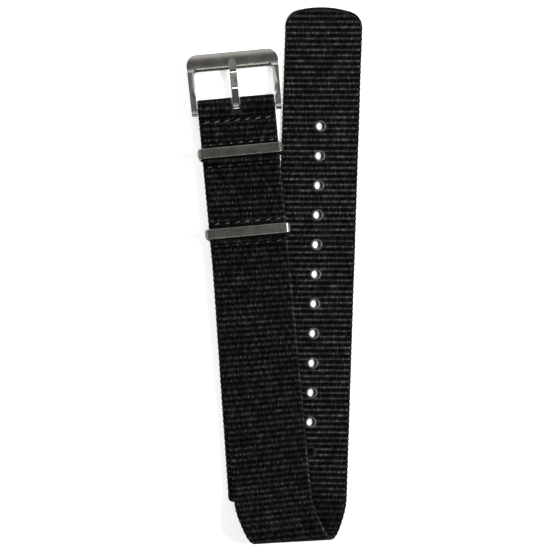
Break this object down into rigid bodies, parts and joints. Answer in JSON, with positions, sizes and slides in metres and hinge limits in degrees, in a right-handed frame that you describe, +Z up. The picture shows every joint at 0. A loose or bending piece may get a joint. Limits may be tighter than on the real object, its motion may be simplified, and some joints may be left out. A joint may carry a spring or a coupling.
{
  "type": "watch strap",
  "caption": "Folded nylon webbing watch strap with a steel tang buckle on a spring bar, two steel keeper rings in sewn tunnels, an under strap and a holed tail.",
  "frame": {"origin": "middle of the box that holds the strap as it lies, on the surface it lies on", "axes": "+Z up, +Y from the fold towards the buckle and the tail's tip, +X towards the tail's side"},
  "size_m": [0.0452, 0.1381, 0.0084],
  "materials": {
    "webbing": "ribbed black nylon",
    "thread": "black sewing thread",
    "brushed_metal": "brushed with polished bevels",
    "keeper_metal": "satin",
    "bar_metal": "turned",
    "spring_wire": "drawn wire"
  },
  "bodies": {
    "strap": {"main_webbing": "webbing", "under_webbing": "webbing", "seam_1_needle_thread": "thread", "seam_1_bobbin_thread": "thread", "seam_2_needle_thread": "thread", "seam_2_bobbin_thread": "thread", "seam_3_needle_thread": "thread", "seam_3_bobbin_thread": "thread", "seam_4_needle_thread": "thread", "seam_4_bobbin_thread": "thread", "seam_5_needle_thread": "thread", "seam_5_bobbin_thread": "thread"},
    "buckle": {"buckle_frame": "brushed_metal", "spring_bar_tube": "bar_metal", "spring_bar_spring": "spring_wire"},
    "tang": {"buckle_tang": "brushed_metal"},
    "pin_left": {"spring_bar_pin_left": "bar_metal"},
    "pin_right": {"spring_bar_pin_right": "bar_metal"},
    "keeper_upper": {"keeper_ring_upper": "keeper_metal"},
    "keeper_lower": {"keeper_ring_lower": "keeper_metal"}
  },
  "joints": [
    {"name": "buckle_swing", "type": "hinge", "parent": "strap", "child": "buckle", "pos_m": [-0.00977, 0.04301, 0.0028], "axis": [0.9957, 0.0924, 0], "range_deg": [-75, 50]},
    {"name": "tang_swing", "type": "hinge", "parent": "buckle", "child": "tang", "pos_m": [-0.00977, 0.04301, 0.0028], "axis": [0.9957, 0.0924, 0], "range_deg": [0, 50]},
    {"name": "pin_left_slide", "type": "slide", "parent": "buckle", "child": "pin_left", "axis": [0.9957, 0.0924, 0], "range_m": [0, 0.0009], "stiffness_N_per_m": 2500, "springref_m": -0.0006, "deforming": ["spring_bar_spring"]},
    {"name": "pin_right_slide", "type": "slide", "parent": "buckle", "child": "pin_right", "axis": [-0.9957, -0.0924, 0], "range_m": [0, 0.0009], "stiffness_N_per_m": 2500, "springref_m": -0.0006, "deforming": ["spring_bar_spring"]},
    {"name": "keeper_upper_tilt", "type": "hinge", "parent": "strap", "child": "keeper_upper", "pos_m": [-0.00868, 0.03126, 0.0031], "axis": [0.9957, 0.0924, 0], "range_deg": [0, 18]},
    {"name": "keeper_lower_tilt", "type": "hinge", "parent": "strap", "child": "keeper_lower", "pos_m": [-0.00681, 0.011, 0.0031], "axis": [0.9957, 0.0924, 0], "range_deg": [-5, 13]}
  ]
}
